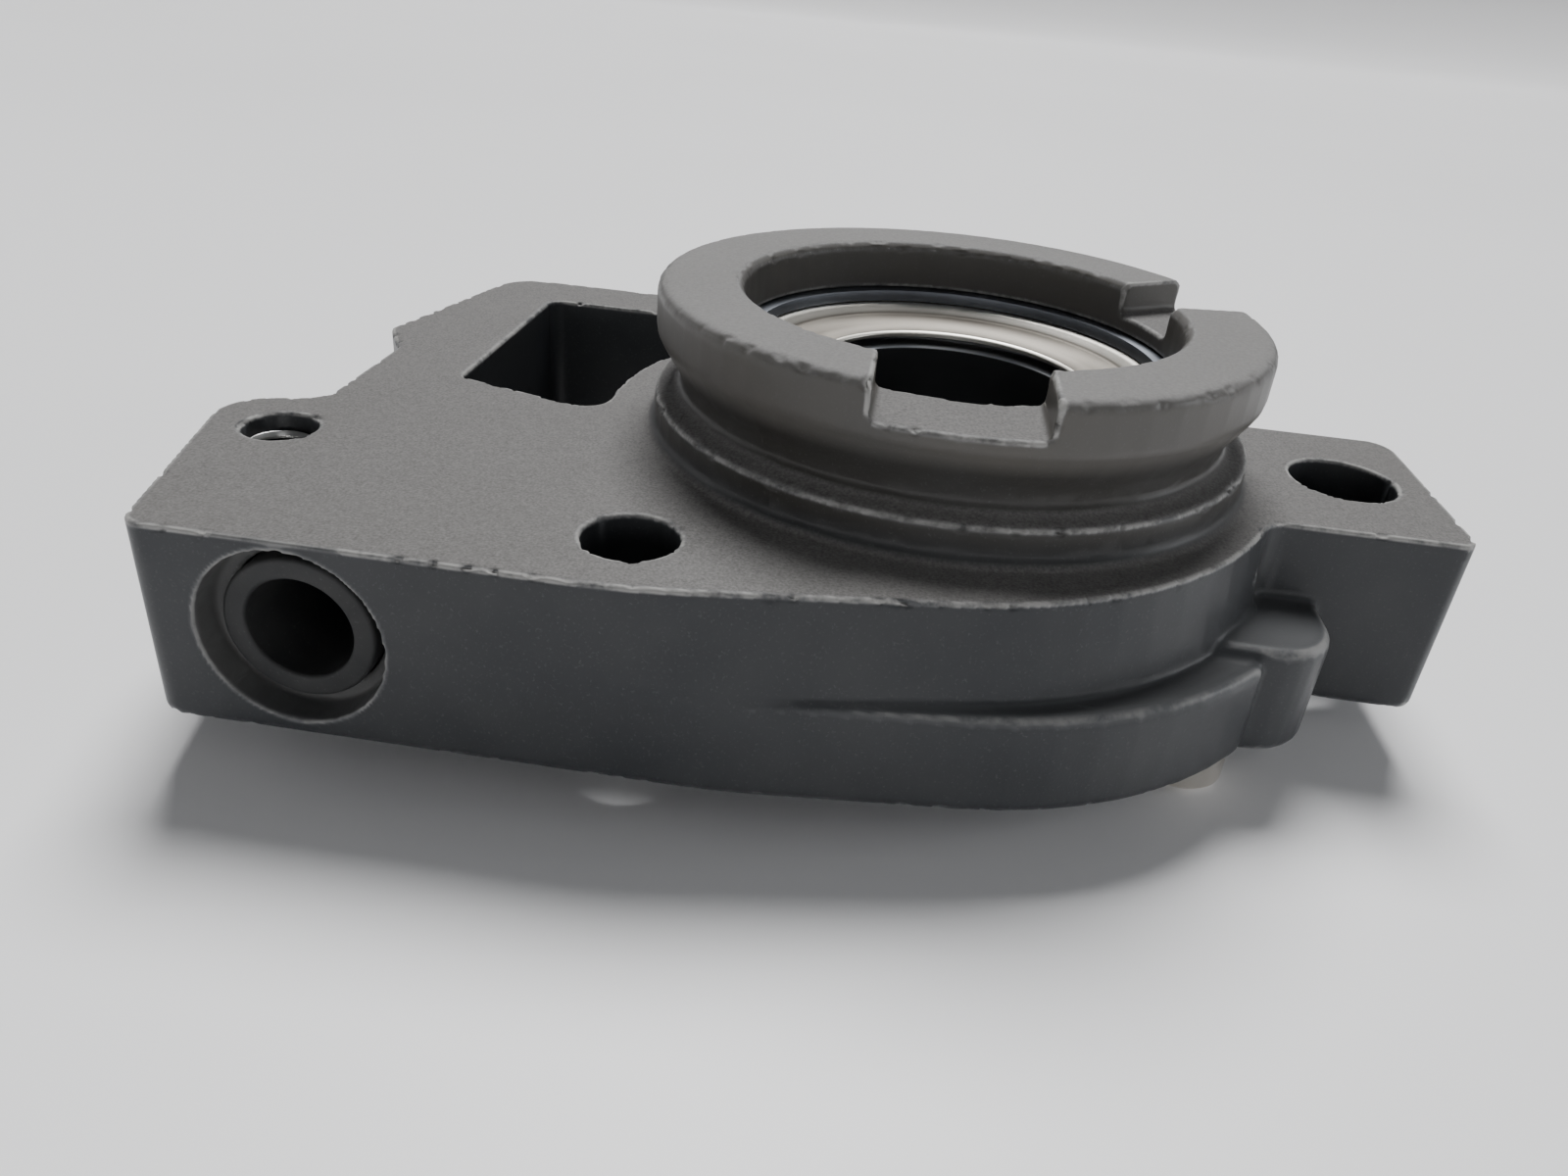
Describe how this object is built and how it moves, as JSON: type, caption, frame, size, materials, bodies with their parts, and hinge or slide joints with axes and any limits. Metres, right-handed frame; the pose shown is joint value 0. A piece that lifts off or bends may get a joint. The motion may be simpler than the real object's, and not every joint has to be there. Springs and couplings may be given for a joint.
{
  "type": "flange mount bearing",
  "caption": "Flat cast flange with bolt holes, an oil port and a window, carrying a raised, notched hub that holds a shielded ball bearing under a retaining ring.",
  "frame": {"origin": "centre of the footprint, at the height of the lowest piece, the ends of the dowels", "axes": "+Z along the hub axis, away from the mating face; +X along the flange towards the ear; -Y is the side with the oil port"},
  "size_m": [0.1522, 0.1024, 0.048],
  "materials": {
    "casting": "dark phosphated casting with a fine speckle",
    "bush": "blackened steel",
    "insert": "bright steel",
    "dowel": "ground steel",
    "ring": "oiled spring steel",
    "shield": "bright pressed steel, polished at the rim",
    "race": "ground bearing steel",
    "ball": "polished",
    "cage": "matte"
  },
  "bodies": {
    "housing": {"housing": "casting", "port_bush": "bush", "thread_insert": "insert", "dowel_front": "dowel", "dowel_rear": "dowel", "retaining_ring": "ring", "grease_shield": "shield", "bearing_outer_race": "race"},
    "inner_race": {"bearing_inner_race": "race"},
    "ball_set": {"ball_cage": "cage", "ball_01": "ball", "ball_02": "ball", "ball_03": "ball", "ball_04": "ball", "ball_05": "ball", "ball_06": "ball", "ball_07": "ball", "ball_08": "ball", "ball_09": "ball", "ball_10": "ball", "ball_11": "ball", "ball_12": "ball", "ball_13": "ball", "ball_14": "ball"}
  },
  "joints": [
    {"name": "inner_race_spin", "type": "hinge", "parent": "housing", "child": "inner_race", "pos_m": [0.0126, 0.00115, 0.03], "axis": [0, 0, 1], "continuous": true},
    {"name": "ball_set_orbit", "type": "hinge", "parent": "housing", "child": "ball_set", "pos_m": [0.0126, 0.00115, 0.03], "axis": [0, 0, 1], "continuous": true}
  ],
  "couplings": [
    {"joint": "ball_set_orbit", "follows": "inner_race_spin", "ratio": 0.4322}
  ]
}
